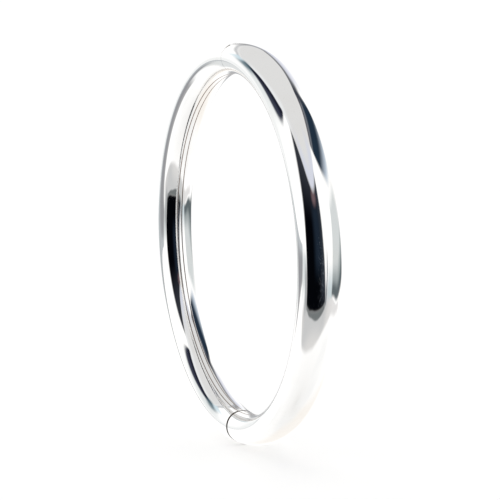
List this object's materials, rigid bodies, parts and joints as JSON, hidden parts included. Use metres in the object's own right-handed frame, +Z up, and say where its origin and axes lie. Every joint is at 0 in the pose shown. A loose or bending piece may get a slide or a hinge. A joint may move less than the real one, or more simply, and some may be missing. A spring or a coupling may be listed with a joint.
{
  "type": "bangle bracelet",
  "caption": "Round hollow hinged bangle bracelet in polished silver metal, with a knuckle hinge and a box catch with a sprung tongue.",
  "frame": {"origin": "centre of the round wrist opening, on the hoop's axis and midway across its width", "axes": "+Z up with the hoop standing upright, hinge near the top and catch at the bottom; +Y along the hoop's axis; the half that opens is on the +X side"},
  "size_m": [0.0706, 0.007, 0.0706],
  "materials": {
    "silver_polished": "mirror polished sterling silver with fine handling scratches",
    "silver_strip": "polished silver seam strip, a little softer than the shell",
    "silver_plates": "satin silver, as sawn and filed",
    "spring_silver": "rolled spring silver, lightly brushed along its length",
    "pin_steel": "drawn steel wire, ends filed flush"
  },
  "bodies": {
    "catch_half": {"shell_catch_half": "silver_polished", "strip_catch_half": "silver_strip", "hinge_block_catch_half": "silver_plates", "knuckle_1": "silver_polished", "knuckle_3": "silver_polished", "knuckle_5": "silver_polished", "hinge_pin": "pin_steel", "mouth_plate": "silver_plates", "catch_box": "silver_plates"},
    "tongue_half": {"shell_tongue_half": "silver_polished", "strip_tongue_half": "silver_strip", "hinge_block_tongue_half": "silver_plates", "knuckle_2": "silver_polished", "knuckle_4": "silver_polished", "tongue_plate": "silver_plates", "tongue_base": "spring_silver"},
    "tongue_spring": {"spring_leaf": "spring_silver", "thumb_tab": "silver_polished"}
  },
  "joints": [
    {"name": "hinge", "type": "hinge", "parent": "catch_half", "child": "tongue_half", "pos_m": [0.00537, 0, 0.03388], "axis": [0, -1, 0], "range_deg": [0, 50]},
    {"name": "tongue_press", "type": "hinge", "parent": "tongue_half", "child": "tongue_spring", "pos_m": [-0.0044, 0, -0.03206], "axis": [0, -1, 0], "range_deg": [-4.5, 0], "stiffness_Nm_per_rad": 0.1, "springref_deg": -10.03}
  ]
}
